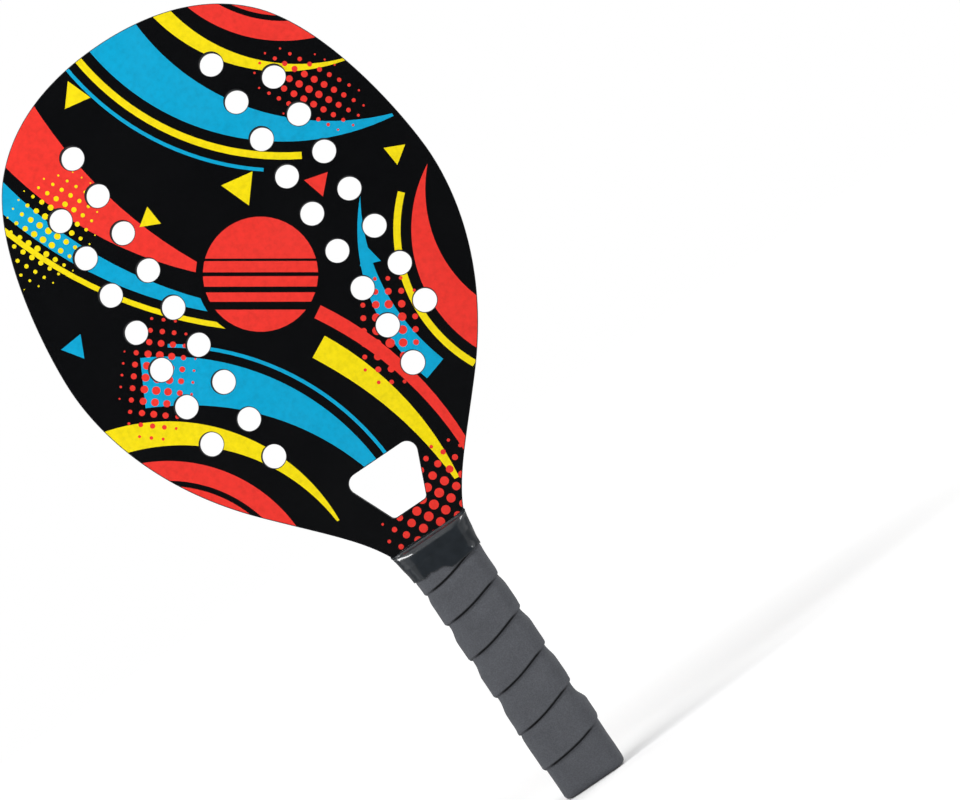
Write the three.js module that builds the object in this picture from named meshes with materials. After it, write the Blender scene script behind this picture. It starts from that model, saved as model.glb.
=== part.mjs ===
// Beach tennis racket: a flat drilled blade and its handle tongue routed from one laminated board,
// two wooden cheeks glued on the tongue, a foam tape wound round the grip and a shrunk sleeve
// over the neck.
//
// Millimetres. The handle stands on its butt at z = 0 and the blade's tip is at the top.
// X runs across the blade. The front face looks along -Y. The board's middle plane is y = 0.

import * as THREE from "three";

// Board: blade, throat and tongue in one piece.
const boardThickness = 9;
const printThickness = 0.3;
const headWidth = 240;
const headLength = 356;
const widestRise = 204;
const shoulderHalfWidth = 84;
const shoulderDrop = 31;
const shoulderDegrees = 46.7;
const flankHalfWidth = 72;
const flankRise = 88;
const flankDegrees = 41.3;

// How far each Bezier handle reaches, as a share of the chord between its two end points.
const tipReachShares = [0.287, 0.393];
const sideReachShares = [0.328, 0.178];
const waistReachShares = [0.195, 0.492];
const neckReachShares = [0.481, 0.318];

// Drilling: a square grid with two columns on each side of the blade. It has as many rows as fit
// between the top row and the margin that stays solid over the throat.
const holeDiameter = 13;
const holePitch = 25;
const innerColumn = 46.6;
const topRowDrop = 44;
const throatMargin = 30;

// Throat opening: a trapezoid, narrow end down, with round corners.
const throatRise = 45.6;
const throatHeight = 33.1;
const throatTopWidth = 50;
const throatFootWidth = 21.6;
const throatTopRadius = 6;
const throatFootRadius = 3;

// Handle: the tongue's width, and the cheeks that round it off.
const handleLength = 138;
const handleWidth = 35;
const cheekThickness = 5.2;
const cheekRise = 25.5;
const noseRadius = 1.5;
const buttRadius = 3;

// Foam tape. It is wound from the butt upwards, and each turn laps over the turn below.
const tapeWidth = 32;
const tapeThickness = 1.6;
const skivedThickness = 0.5;
const skiveLength = 15;
const tapeTuck = 18;
const firstLapHeight = 20.8;
const usualPitch = 23.4;
const windingDrift = 3.5;
const frontLag = 1.4;
const turnGap = 0.55;
const bridgeLength = 9;
const bridgeRoom = 2;
const endTurnShare = 0.57;
const rampShare = 0.12;

// Shrunk sleeve over the neck, with a thin lip that lies on the blade.
const sleeveWall = 0.7;
const lipWall = 0.4;
const lipLength = 3.6;
const sleeveFootRise = 8;
const sleeveTilt = 1.3;

// Clearance between a piece and what it is seated on.
const seatGap = 0.3;

// Facets.
const outlineSteps = 12;
const holeSides = 16;
const cornerArcSteps = 4;
const throatArcSteps = 4;
const buttArcSteps = 2;
const noseArcSteps = 2;
const neckSteps = 5;
const widthSearchSteps = 40;
const gapSampleRows = 33;

// Across the tape: where the section is sampled, from the lapping edge up to the covered edge.
const tapeShares = [0.26, 0.36, 0.46, 0.56, 1];
const tapeEdgeShares = [0.4, 0.85];

// Worked out from the sizes above.
const quarterTurn = Math.PI / 2;
const quarterDegrees = 90;
const racketLength = handleLength + headLength;
const faceDepth = boardThickness / 2 + printThickness;
const coreHalfDepth = faceDepth + cheekThickness;
const throatTop = handleLength + throatRise + throatHeight;
const topRow = racketLength - topRowDrop;
const innerRows = 1 + Math.floor((topRow - throatTop - throatMargin) / holePitch);
const cheekTop = handleLength + cheekRise;
const sleeveFoot = handleLength + sleeveFootRise;
const tapeTop = handleLength + tapeTuck;
const climbingTurns = Math.round((handleLength - firstLapHeight) / usualPitch);
const pitch = (handleLength - firstLapHeight) / climbingTurns;
const cornerStations = cornerArcSteps + 2;
const turnStations = 4 * cornerStations;

// The tape's course in turns: it starts on the right edge, lies level for one turn, and starts to
// climb where it comes back over its own start.
const startTurn = -1.5;
const climbStart = startTurn + 1;

const materials = {
  board: new THREE.MeshStandardMaterial({ color: 0x8a7256, roughness: 0.85, metalness: 0 }),
  print: new THREE.MeshStandardMaterial({ color: 0x111318, roughness: 0.35, metalness: 0 }),
  cheek: new THREE.MeshStandardMaterial({ color: 0xc9a877, roughness: 0.7, metalness: 0 }),
  foam: new THREE.MeshStandardMaterial({ color: 0x57595c, roughness: 0.95, metalness: 0 }),
  sleeve: new THREE.MeshStandardMaterial({ color: 0x17191c, roughness: 0.15, metalness: 0 }),
};

// The unit direction at an angle below the level, in degrees, going right.
function slope(degrees) {
  const angle = THREE.MathUtils.degToRad(degrees);
  return new THREE.Vector2(Math.cos(angle), -Math.sin(angle));
}

// A Bezier from one point to another that leaves and arrives along the given directions.
function blend(start, leaving, end, arriving, reachShares) {
  const chord = start.distanceTo(end);
  const first = start.clone().addScaledVector(leaving, reachShares[0] * chord);
  const last = end.clone().addScaledVector(arriving, -reachShares[1] * chord);
  return new THREE.CubicBezierCurve(start, first, last, end);
}

// The right half of the blade's outline, from the tip down to the tongue, as four tangent curves.
function halfOutlineCurves() {
  const tip = new THREE.Vector2(0, racketLength);
  const shoulder = new THREE.Vector2(shoulderHalfWidth, racketLength - shoulderDrop);
  const widest = new THREE.Vector2(headWidth / 2, handleLength + widestRise);
  const flank = new THREE.Vector2(flankHalfWidth, handleLength + flankRise);
  const neck = new THREE.Vector2(handleWidth / 2, handleLength);
  const level = slope(0);
  const down = new THREE.Vector2(0, -1);
  const shoulderWay = slope(shoulderDegrees);
  const flankWay = slope(quarterDegrees + flankDegrees);
  return [
    blend(tip, level, shoulder, shoulderWay, tipReachShares),
    blend(shoulder, shoulderWay, widest, down, sideReachShares),
    blend(widest, down, flank, flankWay, waistReachShares),
    blend(flank, flankWay, neck, down, neckReachShares),
  ];
}

// The curve that flares from the tongue's side to the flank.
const neckCurve = halfOutlineCurves().at(-1);

// The points of curves that meet end to end. A point that two curves share is kept once.
function chain(curves) {
  return curves.flatMap((curve, i) => curve.getPoints(outlineSteps).slice(Math.min(i, 1)));
}

// The butt's rounding as [inset, height] pairs, from the end face up to the straight side.
function buttProfile() {
  const pairs = [];
  for (let i = 0; i <= buttArcSteps; i += 1) {
    const angle = (quarterTurn * i) / buttArcSteps;
    pairs.push([buttRadius * (1 - Math.sin(angle)), buttRadius * (1 - Math.cos(angle))]);
  }
  return pairs;
}

// How far the handle's side is drawn in at a height, along the facets of the butt's rounding.
function buttInset(height) {
  const pairs = buttProfile();
  for (let i = 1; i < pairs.length; i += 1) {
    const [lowInset, low] = pairs[i - 1];
    const [highInset, high] = pairs[i];
    if (height < high) {
      return THREE.MathUtils.lerp(lowInset, highInset, (height - low) / (high - low));
    }
  }
  return 0;
}

// Half the board's width at a height between the butt and the throat.
function halfWidthAt(height) {
  if (height <= handleLength) {
    return handleWidth / 2;
  }
  let above = 0;
  let below = 1;
  for (let i = 0; i < widthSearchSteps; i += 1) {
    const middle = (above + below) / 2;
    if (neckCurve.getPoint(middle).y > height) {
      above = middle;
    } else {
      below = middle;
    }
  }
  return neckCurve.getPoint(below).x;
}

// A closed outline with an arc of its own radius at each corner. The corners run anticlockwise.
function roundedOutline(corners, radii) {
  const points = [];
  corners.forEach((corner, i) => {
    const back = corners[(i + corners.length - 1) % corners.length].clone().sub(corner).normalize();
    const onward = corners[(i + 1) % corners.length].clone().sub(corner).normalize();
    const halfAngle = Math.acos(back.dot(onward)) / 2;
    const inward = back.clone().add(onward).normalize();
    const centre = corner.clone().addScaledVector(inward, radii[i] / Math.sin(halfAngle));
    const turn = Math.PI - 2 * halfAngle;
    const first = inward.angle() + Math.PI - turn / 2;
    for (let step = 0; step <= throatArcSteps; step += 1) {
      const angle = first + (turn * step) / throatArcSteps;
      const spoke = new THREE.Vector2(Math.cos(angle), Math.sin(angle));
      points.push(centre.clone().addScaledVector(spoke, radii[i]));
    }
  });
  return points;
}

function throatOutline() {
  const foot = handleLength + throatRise;
  const corners = [
    new THREE.Vector2(-throatFootWidth / 2, foot),
    new THREE.Vector2(throatFootWidth / 2, foot),
    new THREE.Vector2(throatTopWidth / 2, throatTop),
    new THREE.Vector2(-throatTopWidth / 2, throatTop),
  ];
  return roundedOutline(corners, [
    throatFootRadius,
    throatFootRadius,
    throatTopRadius,
    throatTopRadius,
  ]);
}

// The centres of all holes: an inner column on each side, and an outer one a row shorter at
// each end.
function holeCentres() {
  const centres = [];
  for (const side of [-1, 1]) {
    for (let row = 0; row < innerRows; row += 1) {
      centres.push(new THREE.Vector2(side * innerColumn, topRow - row * holePitch));
    }
    for (let row = 1; row < innerRows - 1; row += 1) {
      const across = side * (innerColumn + holePitch);
      centres.push(new THREE.Vector2(across, topRow - row * holePitch));
    }
  }
  return centres;
}

// The board's whole outline with its holes, drawn in X and Z. The prints share it.
function boardShape() {
  const butt = buttProfile().map(([inset, height]) => {
    return new THREE.Vector2(handleWidth / 2 - inset, height);
  });
  const right = [...butt, ...chain(halfOutlineCurves()).reverse()];
  const left = right
    .slice(0, -1)
    .reverse()
    .map((point) => new THREE.Vector2(-point.x, point.y));
  const shape = new THREE.Shape([...right, ...left]);
  const radius = holeDiameter / 2;
  for (const centre of holeCentres()) {
    const circle = new THREE.EllipseCurve(centre.x, centre.y, radius, radius);
    shape.holes.push(new THREE.Path(circle.getPoints(holeSides).slice(0, -1)));
  }
  shape.holes.push(new THREE.Path(throatOutline()));
  return shape;
}

// A sheet of the board's outline, standing upright, from y = -thickness to y = 0.
function sheetGeometry(thickness) {
  const geometry = new THREE.ExtrudeGeometry(boardShape(), {
    depth: thickness,
    bevelEnabled: false,
    curveSegments: 1,
  });
  const upright = new THREE.Matrix4().makeBasis(
    new THREE.Vector3(1, 0, 0),
    new THREE.Vector3(0, 0, 1),
    new THREE.Vector3(0, -1, 0),
  );
  return geometry.applyMatrix4(upright);
}

function board() {
  const mesh = new THREE.Mesh(sheetGeometry(boardThickness), materials.board);
  mesh.position.y = boardThickness / 2;
  return mesh;
}

// The printed sheet on one face. side is -1 at the front and 1 at the back.
function print(side) {
  const mesh = new THREE.Mesh(sheetGeometry(printThickness), materials.print);
  mesh.position.y = side < 0 ? -boardThickness / 2 : faceDepth;
  return mesh;
}

// One point of a level section through the handle. The section is a rectangle whose corners
// are rounded from the board's faces outwards. Station 0 is in the middle of the left side, and
// the stations run by the front to the right side and on round the back.
function sectionPoint(station, halfWidth, halfDepth, height) {
  const corner = Math.floor(station / cornerStations);
  const step = station % cornerStations;
  const arcShare = Math.max(step - 1, 0) / cornerArcSteps;
  const angle = Math.PI + (corner + arcShare) * quarterTurn;
  if (step === 0) {
    return new THREE.Vector3(halfWidth * Math.cos(angle), halfDepth * Math.sin(angle), height);
  }
  const radius = halfDepth - faceDepth;
  const sideX = corner === 0 || corner === 3 ? -1 : 1;
  const sideY = corner < 2 ? -1 : 1;
  const x = sideX * (halfWidth - radius) + radius * Math.cos(angle);
  const y = sideY * faceDepth + radius * Math.sin(angle);
  return new THREE.Vector3(x, y, height);
}

function sectionRing(halfWidth, halfDepth, height) {
  const ring = [];
  for (let station = 0; station < turnStations; station += 1) {
    ring.push(sectionPoint(station, halfWidth, halfDepth, height));
  }
  return ring;
}

// The skin over a row of rings. A looped row closes on itself, and any other is capped at both
// ends with the given triangles.
function skin(rings, looped, capTriangles = []) {
  const count = rings[0].length;
  const faces = [];
  const bands = looped ? rings.length : rings.length - 1;
  for (let band = 0; band < bands; band += 1) {
    const low = band * count;
    const high = ((band + 1) % rings.length) * count;
    for (let i = 0; i < count; i += 1) {
      const next = (i + 1) % count;
      faces.push(low + i, low + next, high + next);
      faces.push(low + i, high + next, high + i);
    }
  }
  const lastRing = (rings.length - 1) * count;
  for (const [a, b, c] of capTriangles) {
    faces.push(a, c, b);
    faces.push(lastRing + a, lastRing + b, lastRing + c);
  }
  const geometry = new THREE.BufferGeometry().setFromPoints(rings.flat());
  geometry.setIndex(faces);
  geometry.computeVertexNormals();
  return geometry;
}

// Triangles that fan out from a convex ring's first point.
function fan(count) {
  const triangles = [];
  for (let i = 1; i < count - 1; i += 1) {
    triangles.push([0, i, i + 1]);
  }
  return triangles;
}

// One wooden cheek: flat on the board, its long edges rounded over its whole thickness, with a
// rounded butt and a blunt nose under the sleeve. side is -1 at the front and 1 at the back.
function cheek(side) {
  const sections = buttProfile().map(([inset, height]) => {
    return [handleWidth / 2 - inset, cheekThickness - inset, height];
  });
  const noseFoot = cheekTop - noseRadius;
  for (let i = 0; i < neckSteps; i += 1) {
    const height = THREE.MathUtils.lerp(handleLength, noseFoot, i / neckSteps);
    sections.push([halfWidthAt(height), cheekThickness, height]);
  }
  for (let i = 0; i <= noseArcSteps; i += 1) {
    const angle = (quarterTurn * i) / noseArcSteps;
    const height = noseFoot + noseRadius * Math.sin(angle);
    const drop = noseRadius * (1 - Math.cos(angle));
    sections.push([halfWidthAt(height), cheekThickness - drop, height]);
  }
  const rings = sections.map(([halfWidth, thickness, height]) => {
    const ring = sectionRing(halfWidth, faceDepth + thickness, height);
    const rounded = ring.slice(1, 2 * cornerStations);
    return rounded.map((point) => new THREE.Vector3(-side * point.x, -side * point.y, point.z));
  });
  return new THREE.Mesh(skin(rings, false, fan(rings[0].length)), materials.cheek);
}

// Each station's share of a turn, measured along the bare handle's section.
function stationShares() {
  const ring = sectionRing(handleWidth / 2, coreHalfDepth, 0);
  const runs = [0];
  for (let i = 0; i < turnStations; i += 1) {
    runs.push(runs[i] + ring[i].distanceTo(ring[(i + 1) % turnStations]));
  }
  return runs.slice(0, -1).map((run) => run / runs[turnStations]);
}

// The height of the tape's lapping edge. turn counts from the first climb's end, at the left
// edge, and the tape is level at the butt until half a turn before that.
function lapHeight(turn) {
  if (turn <= climbStart) {
    return 0;
  }
  if (turn < 0) {
    const s = (turn - climbStart) / -climbStart;
    const endSlope = -climbStart * pitch;
    return firstLapHeight * s * s * (3 - 2 * s) + endSlope * s * s * (s - 1);
  }
  const share = turn / climbingTurns;
  const drift = share < 1 ? windingDrift * Math.sin(Math.PI * share * share) : 0;
  const lag = (frontLag * (1 - Math.cos(2 * Math.PI * turn))) / 2;
  return firstLapHeight + pitch * turn + drift - lag;
}

// The tape is trimmed level under the sleeve, so its last turn tapers to a point.
function tapeWidthAt(turn) {
  return Math.min(tapeWidth, tapeTop - lapHeight(turn));
}

function smooth(value) {
  return THREE.MathUtils.smoothstep(value, 0, 1);
}

// The foam is skived thin towards its trimmed edge.
function tapeThicknessAt(height) {
  const share = THREE.MathUtils.clamp((tapeTop - height) / skiveLength, 0, 1);
  return THREE.MathUtils.lerp(skivedThickness, tapeThickness, share);
}

// How far the tape's inner face is lifted off the handle at a height. It rides on whatever turn
// lies below, and bridges down to the handle past that turn's edge.
function tapeLift(turn, height) {
  const onTop = smooth((turn - (startTurn + 1) + rampShare) / rampShare);
  if (onTop === 0) {
    return 0;
  }
  const below = turn - 1;
  const edge = lapHeight(below) + tapeWidthAt(below);
  const bridge = smooth((edge + bridgeRoom + bridgeLength - height) / bridgeLength);
  const layer = tapeThicknessAt(height) + turnGap;
  return (tapeLift(below, height) + layer) * onTop * bridge;
}

// A point of the tape's section. outward is 0 on the inner face and 1 on the outer face.
function tapePoint(station, turn, up, outward) {
  const height = lapHeight(turn) + up;
  const thickness = outward * tapeThicknessAt(height);
  const offset = seatGap + tapeLift(turn, height) + thickness - buttInset(height);
  return sectionPoint(station, halfWidthAt(height) + offset, coreHalfDepth + offset, height);
}

// Distances up from the lapping edge, with how much of the thickness the foam has there.
function tapeRows(turn) {
  const width = tapeWidthAt(turn);
  const edgeRows = buttProfile().map(([, height], i) => {
    return { up: (height * width) / tapeWidth, fullness: tapeEdgeShares[i] ?? 1 };
  });
  return [...edgeRows, ...tapeShares.map((share) => ({ up: share * width, fullness: 1 }))];
}

// The tape's stations in order, from its start on the right edge.
function tapeStations() {
  const shares = stationShares();
  const turnsBefore = -Math.floor(startTurn);
  const first = (turnsBefore + startTurn) * turnStations;
  const last = Math.round((turnsBefore + climbingTurns + endTurnShare) * turnStations);
  const stations = [];
  for (let i = first; i <= last; i += 1) {
    const station = i % turnStations;
    const turn = Math.floor(i / turnStations) - turnsBefore + shares[station];
    stations.push({ station, turn });
  }
  return stations;
}

// The least distance between the tape's outer face and the inner face of the turns over it.
function leastTurnGap(stations) {
  const faces = stations.map(({ station, turn }) => {
    const inner = [];
    const outer = [];
    for (let row = 0; row < gapSampleRows; row += 1) {
      const up = (tapeWidthAt(turn) * row) / (gapSampleRows - 1);
      inner.push(tapePoint(station, turn, up, 0));
      outer.push(tapePoint(station, turn, up, 1));
    }
    return { inner, outer };
  });
  let least = Infinity;
  for (let upper = turnStations; upper < faces.length; upper += 1) {
    for (const lower of [upper - turnStations - 1, upper - turnStations, upper - turnStations + 1]) {
      for (const point of faces[upper].inner) {
        for (const other of faces[Math.max(lower, 0)].outer) {
          least = Math.min(least, point.distanceTo(other));
        }
      }
    }
  }
  return least;
}

// One unbroken strip of foam. Each section is a closed ring: down the outer face and back up
// the inner one.
function gripTape() {
  const stations = tapeStations();
  const rings = stations.map(({ station, turn }) => {
    const rows = tapeRows(turn);
    const outer = rows.map(({ up, fullness }) => tapePoint(station, turn, up, fullness));
    const inner = rows.map(({ up }) => tapePoint(station, turn, up, 0));
    return [...outer.reverse(), ...inner];
  });
  const rowCount = rings[0].length / 2;
  const capTriangles = [];
  for (let i = 0; i < rowCount - 1; i += 1) {
    const across = 2 * rowCount - 1 - i;
    capTriangles.push([i, i + 1, across - 1], [i, across - 1, across]);
  }
  console.log(`grip tape: least gap between turns ${leastTurnGap(stations).toFixed(2)} mm`);
  return new THREE.Mesh(skin(rings, false, capTriangles), materials.foam);
}

// How far the sleeve's inner face stands off the handle: clear of two layers of tape, then drawn
// in to the cheeks.
function sleeveOffset(height) {
  const layered = Math.min(height, tapeTop);
  const offset = 2 * (tapeThicknessAt(layered) + seatGap) + turnGap;
  const share = (height - layered) / (cheekTop - noseRadius - tapeTop);
  return THREE.MathUtils.lerp(offset, seatGap, share);
}

// The sleeve's profile as [offset from the board's side, half depth, height] rows, from its foot
// to its lip. grow is 0 on the inner face and 1 on the outer face.
function sleeveProfile(grow) {
  const noseFoot = cheekTop - noseRadius;
  const rows = [];
  for (let i = 0; i <= neckSteps; i += 1) {
    const height = THREE.MathUtils.lerp(sleeveFoot, noseFoot, i / neckSteps);
    const offset = sleeveOffset(height - (i === 0 ? sleeveTilt : 0)) + grow * sleeveWall;
    rows.push([offset, coreHalfDepth + offset, height]);
  }
  const radius = noseRadius + seatGap + grow * sleeveWall;
  for (let i = 1; i <= noseArcSteps; i += 1) {
    const angle = (quarterTurn * i) / noseArcSteps;
    const halfDepth = coreHalfDepth - noseRadius + radius * Math.cos(angle);
    rows.push([seatGap + grow * sleeveWall, halfDepth, noseFoot + radius * Math.sin(angle)]);
  }
  const lipOffset = seatGap + grow * lipWall;
  rows.push([lipOffset, faceDepth + lipOffset, noseFoot + radius]);
  rows.push([lipOffset, faceDepth + lipOffset, cheekTop + lipLength]);
  return rows;
}

// The foot of the sleeve is cut a little askew: higher at the left side than at the right.
function sleeveRings(grow) {
  return sleeveProfile(grow).map(([offset, halfDepth, height], i) => {
    const halfWidth = halfWidthAt(height) + offset;
    const ring = sectionRing(halfWidth, halfDepth, height);
    if (i === 0) {
      ring.forEach((point) => {
        point.z -= (sleeveTilt * point.x) / halfWidth;
      });
    }
    return ring;
  });
}

function neckSleeve() {
  const rings = [...sleeveRings(1), ...sleeveRings(0).reverse()];
  return new THREE.Mesh(skin(rings, true), materials.sleeve);
}

function racket() {
  const pieces = {
    board: board(),
    front_print: print(-1),
    back_print: print(1),
    front_cheek: cheek(-1),
    back_cheek: cheek(1),
    grip_tape: gripTape(),
    neck_sleeve: neckSleeve(),
  };
  const group = new THREE.Group();
  for (const [name, mesh] of Object.entries(pieces)) {
    mesh.name = name;
    group.add(mesh);
  }
  return group;
}

export default racket();
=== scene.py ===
"""Beach tennis racket: the printed board, its wound foam grip, the shrunk neck sleeve and the studio."""

import math
from functools import partial

import bmesh
import bpy
import numpy as np
from bpy.props import FloatProperty, FloatVectorProperty, IntProperty, PointerProperty
from mathutils import Matrix, Vector
from mathutils.geometry import delaunay_2d_cdt


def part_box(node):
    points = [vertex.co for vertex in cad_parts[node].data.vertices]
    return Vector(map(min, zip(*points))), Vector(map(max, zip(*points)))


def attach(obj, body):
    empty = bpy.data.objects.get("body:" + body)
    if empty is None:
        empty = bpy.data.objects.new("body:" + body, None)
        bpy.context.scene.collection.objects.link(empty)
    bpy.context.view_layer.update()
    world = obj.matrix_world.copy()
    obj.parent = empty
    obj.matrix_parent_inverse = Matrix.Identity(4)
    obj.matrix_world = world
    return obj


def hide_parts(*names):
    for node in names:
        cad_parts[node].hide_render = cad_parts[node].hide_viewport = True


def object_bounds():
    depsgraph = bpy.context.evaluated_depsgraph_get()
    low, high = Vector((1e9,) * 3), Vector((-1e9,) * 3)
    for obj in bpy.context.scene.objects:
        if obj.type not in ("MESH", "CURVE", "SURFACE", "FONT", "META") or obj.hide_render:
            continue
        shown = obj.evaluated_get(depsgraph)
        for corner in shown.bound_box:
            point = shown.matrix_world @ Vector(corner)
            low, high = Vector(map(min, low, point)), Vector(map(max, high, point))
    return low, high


bl_info = {
    "name": "Beach Tennis Racket",
    "version": (1, 0, 0),
    "blender": (4, 5, 0),
    "location": "View3D > Sidebar > Racket",
    "description": "Builds a printed beach tennis racket with a wound foam grip around its packed model",
    "category": "Add Mesh",
}

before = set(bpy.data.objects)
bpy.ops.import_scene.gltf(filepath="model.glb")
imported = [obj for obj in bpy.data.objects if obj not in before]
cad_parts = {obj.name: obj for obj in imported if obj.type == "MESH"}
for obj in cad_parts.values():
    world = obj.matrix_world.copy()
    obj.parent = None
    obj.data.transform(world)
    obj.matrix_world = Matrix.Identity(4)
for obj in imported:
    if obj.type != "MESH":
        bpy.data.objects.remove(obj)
CAD_LOW, CAD_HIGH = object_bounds()
MM = 0.001
JOIN_DISTANCE = MM / 1000
BODY = "root"

# The solids that the pieces are built around.
BOARD_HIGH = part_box("board")[1]
CHEEK_LOW, CHEEK_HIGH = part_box("front_cheek")
RACKET_LENGTH = BOARD_HIGH.z
HALF_HEAD_WIDTH = BOARD_HIGH.x
CORE_HALF_THICKNESS = BOARD_HIGH.y
FACE_DEPTH = -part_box("front_print")[0].y
HANDLE_HALF_DEPTH = -CHEEK_LOW.y
CHEEK_TOP = CHEEK_HIGH.z
TAPE_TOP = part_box("grip_tape")[1].z
SLEEVE_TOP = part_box("neck_sleeve")[1].z

# The blade's outline: half widths and heights where its curves meet, and the directions there.
HANDLE_LENGTH = 138 * MM
HANDLE_HALF_WIDTH = 17.5 * MM
WIDEST_RISE = 204 * MM
SHOULDER_HALF_WIDTH = 84 * MM
SHOULDER_DROP = 31 * MM
SHOULDER_DEGREES = 46.7
FLANK_HALF_WIDTH = 72 * MM
FLANK_RISE = 88 * MM
FLANK_DEGREES = 131.3
REACH_SHARES = ((0.287, 0.393), (0.328, 0.178), (0.195, 0.492), (0.481, 0.318))
BUTT_RADIUS = 3 * MM
NECK_STEPS = 120

# How far the sheets stand proud of the painted rim round them, and the glue line under them.
SHEET_STEP = 0.06 * MM
GLUE_GAP = 0.02 * MM

# Drilled holes and the throat opening. The holes are as wide as the photograph shows them, half a
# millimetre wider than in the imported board.
HOLE_RADIUS = 6.75 * MM
HOLE_PITCH = 25 * MM
INNER_COLUMN = 46.6 * MM
TOP_ROW_DROP = 44 * MM
INNER_ROWS = 9
THROAT_RISE = 45.6 * MM
THROAT_HEIGHT = 33.1 * MM
THROAT_FOOT_HALF_WIDTH = 10.8 * MM
THROAT_TOP_HALF_WIDTH = 25 * MM
THROAT_FOOT_RADIUS = 3 * MM
THROAT_TOP_RADIUS = 6 * MM

# The course of the tape. Its turns count from the end of the first climb, at the left side.
TAPE_WIDTH = 32 * MM
SKIVED_THICKNESS = 0.5 * MM
SKIVE_LENGTH = 10 * MM
FIRST_LAP_HEIGHT = 20.8 * MM
CLIMBING_TURNS = 5
WINDING_PITCH = (HANDLE_LENGTH - FIRST_LAP_HEIGHT) / CLIMBING_TURNS
WINDING_DRIFT = 3.5 * MM
BRIDGE_LENGTH = 9 * MM
BRIDGE_ROOM = 5 * MM
START_ROOM = 4 * MM
START_TURN = -1.5
CLIMB_START = START_TURN + 1
END_TURN_SHARE = 0.57
RAMP_SHARE = 0.12
TAPE_SEAT_GAP = 0.05 * MM
WAVER = 0.05 * MM
WAVER_RISE = 17 * MM
# How far the painted shade of a lap reaches below the next turn's edge, and up the lapping edge's rounding.
LAP_SHADE_WIDTH = 0.45 * MM
LAP_SHADE_EDGE_SHARE = 0.45

# How far the lapping edge lags behind an even climb, in millimetres: a constant, and the cosine and sine
# of one turn and of two.
LAP_LAG = (0.91, -0.4, 1.02, -0.51, 0.4)

# The first lap sags towards the right side: how far, at which turn and over how many turns.
FIRST_SAG = 2 * MM
SAG_TURN = 0.38
SAG_TURNS = 0.16

# The sleeve: how far its film stands off the board's side at each height, and its torn foot.
FILM_STAND_OFF = ((142, 3.75), (147, 3.5), (150, 3.2), (156.4, 2.75), (160, 2.1), (163, 1.4))
TORN_FOOT = (
    (-22, 147.9), (-18.4, 147.5), (-14, 147.0), (-10.5, 147.9), (-7, 147.2), (-3.5, 147.1),
    (-1.2, 146.3), (-0.2, 144.9), (1.4, 144.0), (3.5, 143.8), (10, 144.5), (19, 145.7), (22, 146.1),
)
SLEEVE_NOSE_RADIUS = 3.8 * MM
SIDE_NOSE_RADIUS = 1.8 * MM
SLEEVE_NOSE_RISE = 1.3 * MM
RIDGE_CORNER = 11 * MM
RIDGE_START = math.radians(11)
RIDGE_TILT = math.radians(24)
RIDGE_SPREAD = math.radians(6)
RIDGE_FLATNESS = 11
SLEEVE_FILLET = 1.4 * MM
LIP_CLEARANCE = 0.12 * MM
LIP_OVERHANG = 0.45 * MM
LIP_WAVE = 0.5 * MM
LIP_SHARES = (0.3, 0.65, 1)
PUCKERS = 46
NICKS = 37
NICK_DEPTH = 0.2 * MM
ASLANT_RISE = 13 * MM
ASLANT_START = 1.7 / (2 * math.pi)
FADING_RISE = 5 * MM
BODY_ROWS = 34
RIDGE_ROWS = 14
FILLET_ROWS = 9

# The corners of the film's front, as its foot and its dents are placed: how far in, and how wide.
FILM_CORNER_INSET = 5 * MM
FILM_CORNER = 9 * MM

# Small dents and one blister of the film over the tape: across, up, width and depth in millimetres.
DENTS = ((16.4, 146.1, 1.6, -0.7), (-9, 152, 5, 0.25), (5, 156, 7, 0.2), (13, 151, 4, 0.18))

# How the photograph sees the racket.
IMAGE_WIDTH = 960
IMAGE_HEIGHT = 800
PIXELS_PER_METRE = 1800
BUTT_PIXEL = (595.8, 781.9)
LEAN_DEGREES = 34.12
SENSOR_WIDTH = 36

# The studio. A lamp has a name, a place, a width, a height, a share of the lamps' power and a roll in
# degrees.
LAMPS = (
    ("left_softbox", (-1.4, -1.25, 0.85), 1.5, 1.5, 0.25, 0),
    ("right_softbox", (1.4, -1.25, 0.85), 1.5, 1.5, 0.25, 0),
    ("high_left_strip", (-0.66, -0.55, 0.945), 1.4, 0.17, 1.2, 48),
    ("high_right_box", (0.95, -0.65, 1.3), 0.4, 0.4, 0.6, 0),
    ("back_left_softbox", (-1.4, 1.25, 0.85), 1.5, 1.5, 0.6, 0),
    ("back_right_softbox", (1.4, 1.25, 0.85), 1.5, 1.5, 0.6, 0),
    ("high_back_strip", (0.66, 0.55, 0.945), 1.4, 0.14, 0.6, 48),
)
AIM_SHARE = 0.55
FLOOR_RADIUS = 24
FLOOR_DROP = 0.2 * MM
FLOOR_GLOSS_SHARE = 0.35

# How the floor's glow grows with the distance, how the room's light falls from the walls to the
# ceiling, and how the light that gloss sees falls towards the front and back.
GLOW_REACH, NEAR_GLOW, FAR_GLOW = 2.2, 0.07, 0.82
WALL_TOP, CEILING_FOOT, CEILING_SHARE = 0.25, 0.6, 0.12
LIT_TURN, DARK_TURN, SIDE_GLOSS, FRONT_GLOSS = 0.2, 0.65, 0.6, 0.02

# The printed inks, in the order of the sheet's material slots.
BLACK, RED, BLUE, YELLOW = range(4)

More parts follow.
